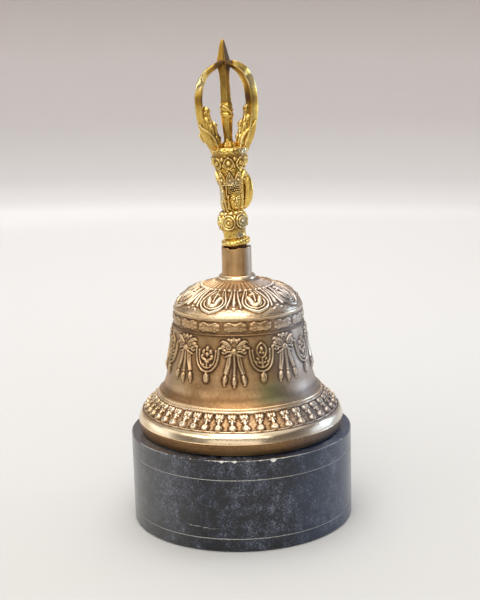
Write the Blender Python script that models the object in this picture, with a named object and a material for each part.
"""Hand bell with a vajra handle, standing on a turned stone plinth.

The bell is a hollow bronze casting. A collar, a ferrule and a brass handle stand on its crown, and one stud
holds them: it runs from the handle's tang down through the crown to a washer, a nut and an eye inside.
A link hangs in the eye and the clapper hangs in the link. The bell lifts straight off the plinth.

Frame: +Z up, origin on the plinth's axis at the surface that it stands on. The two open prongs of the handle
lie left and right, nearly along X. Dimensions below are in millimetres.
"""

import math

import bmesh
import bpy
from mathutils import Matrix, Vector

MM = 0.001
GAP = 0.3  # left between two pieces that rest on each other

# Plinth
PLINTH_RADIUS = 53.75
PLINTH_TOP = 44.0
PLINTH_EDGE = 0.7
LINE_HEIGHTS = (6.5, 34.7)  # the two incised lines
LINE_HALF_WIDTH = 0.3
LINE_DEPTH = 0.25
FELT_RADIUS = 46.0
FELT_THICKNESS = 1.1

# Bell
MOUTH_RADIUS = 50.0
BELL_FOOT = PLINTH_TOP + GAP
CROWN_TOP = 117.2
CROWN_UNDER = 113.4
CROWN_FLAT_RADIUS = 9.4
STUD_RADIUS = 2.9
STUD_HOLE_RADIUS = 3.3
BEAD_RADIUS = 0.8
LIP_BEAD = (39.9, 63.3)  # centre of the bead above the mouth, as radius and height
SHOULDER_BEAD = (31.4, 104.2)
WAIST = ((39.0, 64.5), (36.6, 69.0), (35.5, 74.5), (34.3, 82.0), (32.8, 90.0), (31.9, 98.0), (31.6, 103.2))
DOME = ((31.0, 105.1), (29.2, 108.3), (24.6, 111.9), (18.2, 114.4))
INSIDE = (
    (26.0, 107.6),
    (28.4, 102.5),
    (29.4, 94.0),
    (31.3, 83.0),
    (32.8, 74.0),
    (34.6, 67.5),
    (38.2, 61.2),
    (42.6, 55.0),
    (44.6, 49.5),
)

# Neck
COLLAR_RADIUS = 8.9
COLLAR_HEIGHT = 2.1
FERRULE_RADIUS = 7.15
FERRULE_BORE = 5.8
FERRULE_TOP = 133.3

# Handle: heights are measured along its own axis from the ferrule's top
HANDLE_LEAN = math.radians(-2.0)  # it stands a little askew in the ferrule, towards -X
HANDLE_TURN = math.radians(9.0)
HANDLE_OFFSET = -0.6
TANG_RADIUS = 4.9
TANG_LENGTH = 11.0
FOOT_TOP = 15.0
HEAD_TOP = 37.6
LOTUS_TOP = 46.0
TENON_RADIUS = 1.9
TENON_HOLE_RADIUS = 2.2
TENON_FOOT = 28.0
# The folded lappets beside the head: place along X and half thickness. One lies close, one stands out.
LAPPETS = (("lappet_left", -4.9, 1.7), ("lappet_right", 7.9, 2.3))
LAPPET_HEIGHT = 25.6
LAPPET_HALF_SIZE = (2.6, 8.2)
# A prong's outline seen from the front, as (outer radius, height) against (inner radius, height)
PRONG = (
    ((8.4, 46.4), (4.4, 46.4)),
    ((9.6, 48.4), (4.2, 48.6)),
    ((11.4, 51.2), (4.9, 52.0)),
    ((13.2, 54.8), (5.9, 56.4)),
    ((14.3, 59.4), (7.4, 61.0)),
    ((14.8, 64.0), (9.4, 65.4)),
    ((15.0, 69.0), (11.2, 69.0)),
    ((14.6, 74.4), (11.1, 73.6)),
    ((13.4, 79.0), (10.3, 77.6)),
    ((11.2, 82.8), (8.7, 80.9)),
    ((7.8, 85.4), (6.2, 83.2)),
    ((3.6, 87.0), (3.5, 84.6)),
)
PRONG_HALF_WIDTHS = (2.3, 2.4, 2.6, 2.7, 2.6, 2.3, 2.1, 2.0, 1.9, 1.8, 1.7, 1.5)
# The right prong is stouter: its inner edge stands this much closer to the axis
RIGHT_SWELLING = (0.0, 0.0, 0.0, 0.0, 0.4, 1.0, 1.5, 1.5, 1.2, 0.6, 0.0, 0.0)

# Inside the crown, going down
WASHER_RADIUS = 7.5
WASHER_THICKNESS = 1.5
NUT_ACROSS_CORNERS = 11.5
NUT_THICKNESS = 4.0
EYE_BOSS_RADIUS = 4.4
EYE_BOSS_FOOT = 101.6
EYE_CENTRE = 98.5
EYE_RADIUS = 3.8
EYE_WIRE = 1.3
LINK_WIRE = 1.1
LINK_STRAIGHT = 4.3
CLAPPER_WIRE = 1.2
RUNNING_GAP = 0.3
STEM_RADIUS = 1.6
BALL_RADIUS = 10.0
BALL_CENTRE = 57.6
RIVET_RADIUS = 2.6

EYE_PIVOT = EYE_CENTRE - EYE_RADIUS  # the link turns here, about Y
LINK_BEND = EYE_WIRE + RUNNING_GAP + LINK_WIRE
LINK_PIVOT = EYE_PIVOT - LINK_STRAIGHT - LINK_BEND  # the clapper turns here, about X
CLAPPER_BEND = LINK_WIRE + RUNNING_GAP + CLAPPER_WIRE

ROUND = 48  # sides of a large turned piece
SMALL_ROUND = 24


def clear_scene():
    for obj in list(bpy.data.objects):
        bpy.data.objects.remove(obj)


def material(name, colour, roughness, metallic):
    made = bpy.data.materials.new(name)
    made.use_nodes = True
    shader = made.node_tree.nodes["Principled BSDF"]
    shader.inputs["Base Color"].default_value = (*colour, 1.0)
    shader.inputs["Roughness"].default_value = roughness
    shader.inputs["Metallic"].default_value = metallic
    made.diffuse_color = (*colour, 1.0)
    return made


def finish(name, bm, finish_material, sharp_angle=35.0):
    """Turns a bmesh into a named object with outward faces and its material."""
    bmesh.ops.remove_doubles(bm, verts=bm.verts, dist=1e-7)
    bmesh.ops.recalc_face_normals(bm, faces=bm.faces)
    mesh = bpy.data.meshes.new(name)
    bm.to_mesh(mesh)
    bm.free()
    mesh.shade_smooth()
    mesh.set_sharp_from_angle(angle=math.radians(sharp_angle))
    if finish_material:
        mesh.materials.append(finish_material)
    obj = bpy.data.objects.new(name, mesh)
    bpy.context.scene.collection.objects.link(obj)
    return obj


def helper(obj):
    """Marks a cutter or a shape to be joined, which is no part itself."""
    obj.hide_render = True
    obj.display_type = "WIRE"
    return obj


def combine(obj, other, operation):
    modifier = obj.modifiers.new(f"{operation.lower()}_{other.name}", "BOOLEAN")
    modifier.operation = operation
    modifier.object = helper(other)
    return obj


def smooth(knots, per_span=3):
    """Points on a curve through the knots, the knots included (Catmull-Rom)."""
    inner = [Vector(knot) for knot in knots]
    ends = [inner[0] * 2 - inner[1], *inner, inner[-1] * 2 - inner[-2]]
    points = []
    for a, b, c, d in zip(ends, ends[1:], ends[2:], ends[3:]):
        for step in range(per_span):
            t = step / per_span
            square, cube = 2 * a - 5 * b + 4 * c - d, 3 * b - a - 3 * c + d
            points.append(tuple(0.5 * (2 * b + (c - a) * t + square * t**2 + cube * t**3)))
    return [*points, tuple(knots[-1])]


def half_round(centre, radius, start, end, steps=4):
    """Points on an arc in the section plane, angles in degrees from outward towards up."""
    angles = [math.radians(start + (end - start) * i / steps) for i in range(steps + 1)]
    return [(centre[0] + radius * math.cos(a), centre[1] + radius * math.sin(a)) for a in angles]


def turned(name, outline, finish_material, sides=ROUND):
    """A solid turned about Z. The outline is half its section; it may start and end on the axis."""
    bm = bmesh.new()
    verts = [bm.verts.new((r * MM, 0.0, z * MM)) for r, z in outline]
    edges = [bm.edges.new(pair) for pair in zip(verts, verts[1:])]
    if outline[0][0] > 0 or outline[-1][0] > 0:
        edges.append(bm.edges.new((verts[-1], verts[0])))
    bmesh.ops.spin(
        bm, geom=verts + edges, cent=(0, 0, 0), axis=(0, 0, 1), angle=math.tau, steps=sides, use_merge=True
    )
    return finish(name, bm, finish_material)


def loft(name, rings, finish_material, sharp_angle=35.0):
    """A solid through rings of points, closed by a face at each end."""
    bm = bmesh.new()
    rows = [[bm.verts.new(Vector(p) * MM) for p in ring] for ring in rings]
    for low, high in zip(rows, rows[1:]):
        for i in range(len(low)):
            j = (i + 1) % len(low)
            bm.faces.new((low[i], low[j], high[j], high[i]))
    bm.faces.new(rows[0][::-1])
    bm.faces.new(rows[-1])
    return finish(name, bm, finish_material, sharp_angle)


def wire_loop(name, top, bottom, bend, wire, along_x, finish_material):
    """A closed wire: two half circles about the heights top and bottom, joined by straight legs."""
    half_turns = 8
    sides = 8
    centres = []
    for middle, start in ((top, 0.0), (bottom, math.pi)):
        for i in range(half_turns + 1):
            a = start + math.pi * i / half_turns
            centres.append(((bend * math.cos(a), middle + bend * math.sin(a)), a))
    if top == bottom:
        centres = [c for i, c in enumerate(centres) if i not in (half_turns + 1, 2 * half_turns + 1)]
    bm = bmesh.new()
    rows = []
    for (across, height), a in centres:
        row = []
        for k in range(sides):
            b = math.tau * k / sides
            u = across + wire * math.cos(b) * math.cos(a)
            z = height + wire * math.cos(b) * math.sin(a)
            side = wire * math.sin(b)
            row.append(bm.verts.new(Vector((u, side, z) if along_x else (side, u, z)) * MM))
        rows.append(row)
    for i, row in enumerate(rows):
        following = rows[(i + 1) % len(rows)]
        for k in range(sides):
            m = (k + 1) % sides
            bm.faces.new((row[k], row[m], following[m], following[k]))
    return finish(name, bm, finish_material)


def drill(obj, name, radius, low, high):
    """Cuts an upright round hole on the bell's axis."""
    cutter = turned(name, [(0.0, low), (radius, low), (radius, high), (0.0, high)], None, SMALL_ROUND)
    return combine(obj, cutter, "DIFFERENCE")


def on_handle(obj, axis):
    obj.parent = axis
    return obj


def make_plinth(stone, felt):
    recess = FELT_RADIUS + 2 * GAP
    foot = GAP
    outline = [
        (0.0, FELT_THICKNESS + GAP),
        (recess, FELT_THICKNESS + GAP),
        (recess, foot),
        (PLINTH_RADIUS - PLINTH_EDGE, foot),
        (PLINTH_RADIUS, foot + PLINTH_EDGE),
    ]
    for height in LINE_HEIGHTS:
        outline += [
            (PLINTH_RADIUS, height - LINE_HALF_WIDTH),
            (PLINTH_RADIUS - LINE_DEPTH, height),
            (PLINTH_RADIUS, height + LINE_HALF_WIDTH),
        ]
    outline += [
        (PLINTH_RADIUS, PLINTH_TOP - PLINTH_EDGE),
        (PLINTH_RADIUS - PLINTH_EDGE, PLINTH_TOP),
        (0.0, PLINTH_TOP),
    ]
    turned("stone_base", outline, stone, sides=64)
    turned(
        "base_felt",
        [(0.0, 0.0), (FELT_RADIUS, 0.0), (FELT_RADIUS, FELT_THICKNESS), (0.0, FELT_THICKNESS)],
        felt,
    )


def make_bell(bronze):
    outside = [
        (45.2, BELL_FOOT),
        (48.9, BELL_FOOT),
        (49.4, BELL_FOOT + 0.6),
        (MOUTH_RADIUS, 50.2),
        (48.9, 54.6),
        (45.7, 57.6),
        (40.9, 62.2),
        *half_round(LIP_BEAD, BEAD_RADIUS, -45, 95, 3),
        *WAIST,
        *half_round(SHOULDER_BEAD, BEAD_RADIUS, -80, 100, 3),
        *smooth(DOME, 2),
        (18.0, 115.0),
        (CROWN_FLAT_RADIUS, CROWN_TOP),
        (STUD_HOLE_RADIUS, CROWN_TOP),
    ]
    inside = [(STUD_HOLE_RADIUS, CROWN_UNDER), (9.0, CROWN_UNDER), (20.0, 111.2), *INSIDE]
    turned("bell_shell", outside + inside, bronze)


def make_neck(bronze):
    collar_foot = CROWN_TOP + GAP
    collar_top = collar_foot + COLLAR_HEIGHT
    middle = (COLLAR_RADIUS - COLLAR_HEIGHT / 2, collar_foot + COLLAR_HEIGHT / 2)
    turned(
        "neck_collar",
        [
            (STUD_HOLE_RADIUS, collar_foot),
            *half_round(middle, COLLAR_HEIGHT / 2, -90, 90, 6),
            (STUD_HOLE_RADIUS, collar_top),
        ],
        bronze,
        sides=32,
    )
    ferrule_foot = collar_top + GAP
    turned(
        "neck_ferrule",
        [
            (FERRULE_BORE, ferrule_foot),
            (FERRULE_RADIUS, ferrule_foot),
            (FERRULE_RADIUS, FERRULE_TOP - 0.3),
            (FERRULE_RADIUS - 0.3, FERRULE_TOP),
            (FERRULE_BORE, FERRULE_TOP),
        ],
        bronze,
        sides=32,
    )


def make_grip_foot(axis, brass):
    """The tang, the foot ring, the waisted drum and the swelling band that carries the rosettes."""
    foot = turned(
        "grip_foot",
        [
            (0.0, -TANG_LENGTH),
            (TANG_RADIUS, -TANG_LENGTH),
            (TANG_RADIUS, 0.7),
            *half_round((5.4, 2.2), 1.5, -70, 70, 4),
            (5.6, 4.2),
            (5.5, 6.6),
            (6.2, 8.2),
            (7.2, 10.2),
            (7.3, 12.2),
            (6.6, 14.2),
            (5.8, FOOT_TOP),
            (0.0, FOOT_TOP),
        ],
        brass,
        sides=32,
    )
    on_handle(foot, axis)
    # The stud's hole is upright, in line with the bell and not with the leaning handle.
    drill(foot, "stud_hole", STUD_RADIUS + GAP, FERRULE_TOP - TANG_LENGTH - 2.0, FERRULE_TOP + 5.3)


def make_grip_head(axis, brass):
    """The crowned head: a neck, the head between two lappets, and the crown's flaring leaves."""
    head = turned(
        "grip_head",
        [
            (TENON_HOLE_RADIUS, FOOT_TOP + GAP),
            (5.4, FOOT_TOP + GAP),
            (6.0, 16.2),
            (5.3, 17.4),
            (5.0, 19.0),
            (5.7, 22.0),
            (6.2, 25.5),
            (6.0, 29.0),
            (6.4, 31.2),
            (7.7, 33.8),
            (7.2, 36.0),
            (6.4, HEAD_TOP),
            (TENON_HOLE_RADIUS, HEAD_TOP),
        ],
        brass,
        sides=SMALL_ROUND,
    )
    on_handle(head, axis)
    for name, place, half_thickness in LAPPETS:
        bm = bmesh.new()
        bmesh.ops.create_uvsphere(bm, u_segments=12, v_segments=8, radius=1.0)
        size = Matrix.Diagonal(Vector((half_thickness, *LAPPET_HALF_SIZE)) * MM).to_4x4()
        centre = Matrix.Translation(Vector((place, 0.0, LAPPET_HEIGHT)) * MM)
        bmesh.ops.transform(bm, matrix=centre @ size, verts=bm.verts)
        combine(head, on_handle(finish(name, bm, None), axis), "UNION")


def make_lotus_seat(axis, brass):
    seat = turned(
        "lotus_seat",
        [
            (TENON_HOLE_RADIUS, HEAD_TOP + GAP),
            (6.4, HEAD_TOP + GAP),
            (7.3, 39.4),
            (8.4, 42.2),
            *half_round((8.1, 44.6), 0.9, -40, 80, 4),
            (7.6, LOTUS_TOP),
            (TENON_HOLE_RADIUS, LOTUS_TOP),
        ],
        brass,
        sides=32,
    )
    on_handle(seat, axis)


def make_prong(name, side, swelling, axis, brass):
    """One open prong: a flame-shaped foot that narrows to a curved horn."""
    rings = []
    for (outer, inner), half, swell in zip(PRONG, PRONG_HALF_WIDTHS, swelling):
        far = Vector(outer)
        near = Vector((inner[0] - swell, inner[1]))
        across = far - near
        bevel = 0.28
        ring = []
        for along, width in (
            (0.0, -1 + bevel),
            (bevel, -1.0),
            (1 - bevel, -1.0),
            (1.0, -1 + bevel),
            (1.0, 1 - bevel),
            (1 - bevel, 1.0),
            (bevel, 1.0),
            (0.0, 1 - bevel),
        ):
            point = near + across * along
            ring.append((side * point[0], half * width, point[1]))
        rings.append(ring)
    on_handle(loft(name, rings, brass, 50.0), axis)


def make_centre_prong(axis, brass):
    """The middle prong: a tenon in the handle, a lotus foot, a knotted stem, a square shaft and a spike."""
    foot = LOTUS_TOP + GAP
    # height, half width, and how square the section is, from 0, round, to 1, square
    stations = (
        (TENON_FOOT, TENON_RADIUS, 0.0),
        (foot, TENON_RADIUS, 0.0),
        (foot, 3.4, 0.0),
        (47.4, 3.5, 0.0),
        (48.8, 2.4, 0.0),
        (50.6, 1.8, 0.3),
        (56.0, 1.85, 0.5),
        (60.6, 2.0, 0.5),
        (61.4, 2.7, 0.3),
        (63.0, 3.1, 0.3),
        (64.2, 2.6, 0.3),
        (65.4, 3.0, 0.3),
        (67.0, 2.7, 0.4),
        (68.0, 1.95, 0.8),
        (76.0, 1.72, 1.0),
        (81.6, 1.85, 1.0),
        (84.2, 2.25, 1.0),
        (87.6, 2.25, 1.0),
        (91.6, 1.5, 1.0),
        (95.6, 0.85, 1.0),
        (96.9, 0.25, 1.0),
    )
    corner_turn = math.radians(8.0)
    sides = 16
    rings = []
    for height, half, square in stations:
        ring = []
        for k in range(sides):
            a = math.tau * k / sides
            reach = half / max(abs(math.cos(a)), abs(math.sin(a))) ** square
            turn = a + math.radians(45.0) + corner_turn
            ring.append((reach * math.cos(turn), reach * math.sin(turn), height))
        rings.append(ring)
    on_handle(loft("centre_prong", rings, brass), axis)


def make_handle(brass):
    axis = bpy.data.objects.new("handle_axis", None)
    bpy.context.scene.collection.objects.link(axis)
    axis.location = (HANDLE_OFFSET * MM, 0.0, FERRULE_TOP * MM)
    axis.rotation_euler = (0.0, HANDLE_LEAN, HANDLE_TURN)
    make_grip_foot(axis, brass)
    make_grip_head(axis, brass)
    make_lotus_seat(axis, brass)
    make_prong("prong_left", -1, (0.0,) * len(PRONG), axis, brass)
    make_prong("prong_right", 1, RIGHT_SWELLING, axis, brass)
    make_centre_prong(axis, brass)


def make_crown_fixings(steel):
    """The stud, and below the crown its washer, nut and eye."""
    washer_top = CROWN_UNDER - GAP
    washer_foot = washer_top - WASHER_THICKNESS
    nut_top = washer_foot - GAP
    nut_foot = nut_top - NUT_THICKNESS
    eye_top = nut_foot - GAP
    stud_foot = eye_top - 2.6
    stud_top = FERRULE_TOP + 5.0
    hole = STUD_RADIUS + GAP
    turned(
        "crown_stud",
        [(0.0, stud_foot), (STUD_RADIUS, stud_foot), (STUD_RADIUS, stud_top), (0.0, stud_top)],
        steel,
        sides=SMALL_ROUND,
    )
    turned(
        "crown_washer",
        [
            (hole, washer_foot),
            (WASHER_RADIUS, washer_foot),
            (WASHER_RADIUS, washer_top),
            (hole, washer_top),
        ],
        steel,
        sides=SMALL_ROUND,
    )
    corner = NUT_ACROSS_CORNERS / 2
    nut = turned(
        "crown_nut",
        [(0.0, nut_foot), (corner, nut_foot), (corner, nut_top), (0.0, nut_top)],
        steel,
        sides=6,
    )
    drill(nut, "nut_hole", hole, nut_foot - 1.0, nut_top + 1.0)
    boss = turned(
        "hanger_eye",
        [
            (0.0, EYE_BOSS_FOOT),
            (3.2, EYE_BOSS_FOOT),
            (EYE_BOSS_RADIUS, EYE_BOSS_FOOT + 1.4),
            (EYE_BOSS_RADIUS, eye_top),
            (hole, eye_top),
            (hole, stud_foot - GAP),
            (0.0, stud_foot - GAP),
        ],
        steel,
        sides=SMALL_ROUND,
    )
    ring = wire_loop("eye_ring", EYE_CENTRE, EYE_CENTRE, EYE_RADIUS, EYE_WIRE, False, None)
    combine(boss, ring, "UNION")


def make_clapper(steel, brass):
    wire_loop(
        "clapper_link", EYE_PIVOT, EYE_PIVOT - LINK_STRAIGHT, LINK_BEND, LINK_WIRE, True, steel
    )
    eye_foot = LINK_PIVOT - 3.4
    stem_top = eye_foot - CLAPPER_BEND
    stem_foot = BALL_CENTRE - BALL_RADIUS - 0.5
    stem = turned(
        "clapper_stem",
        [
            (0.0, stem_foot),
            (RIVET_RADIUS - 0.8, stem_foot),
            (RIVET_RADIUS, stem_foot + 0.6),
            (STEM_RADIUS, stem_foot + 1.0),
            (STEM_RADIUS, stem_top - 6.0),
            (STEM_RADIUS + 0.3, stem_top),
            (0.0, stem_top + 0.4),
        ],
        steel,
        sides=SMALL_ROUND,
    )
    loop = wire_loop("stem_loop", LINK_PIVOT, eye_foot, CLAPPER_BEND, CLAPPER_WIRE, False, None)
    combine(stem, loop, "UNION")
    ball = turned(
        "clapper_ball",
        half_round((0.0, BALL_CENTRE), BALL_RADIUS, -90, 90, 14),
        brass,
        sides=SMALL_ROUND,
    )
    below, above = BALL_CENTRE - 2 * BALL_RADIUS, BALL_CENTRE + 2 * BALL_RADIUS
    drill(ball, "stem_hole", STEM_RADIUS + GAP, below, above)
    drill(ball, "rivet_seat", RIVET_RADIUS + GAP, below, stem_foot + 1.0 + GAP)


def main():
    clear_scene()
    stone = material("dark_stone", (0.075, 0.083, 0.092), 0.35, 0.0)
    felt = material("green_felt", (0.03, 0.06, 0.04), 0.95, 0.0)
    bronze = material("bell_bronze", (0.50, 0.35, 0.22), 0.32, 1.0)
    brass = material("handle_brass", (0.78, 0.55, 0.20), 0.25, 1.0)
    steel = material("bright_steel", (0.55, 0.54, 0.52), 0.35, 1.0)
    make_plinth(stone, felt)
    make_bell(bronze)
    make_neck(bronze)
    make_handle(brass)
    make_crown_fixings(steel)
    make_clapper(steel, brass)


main()
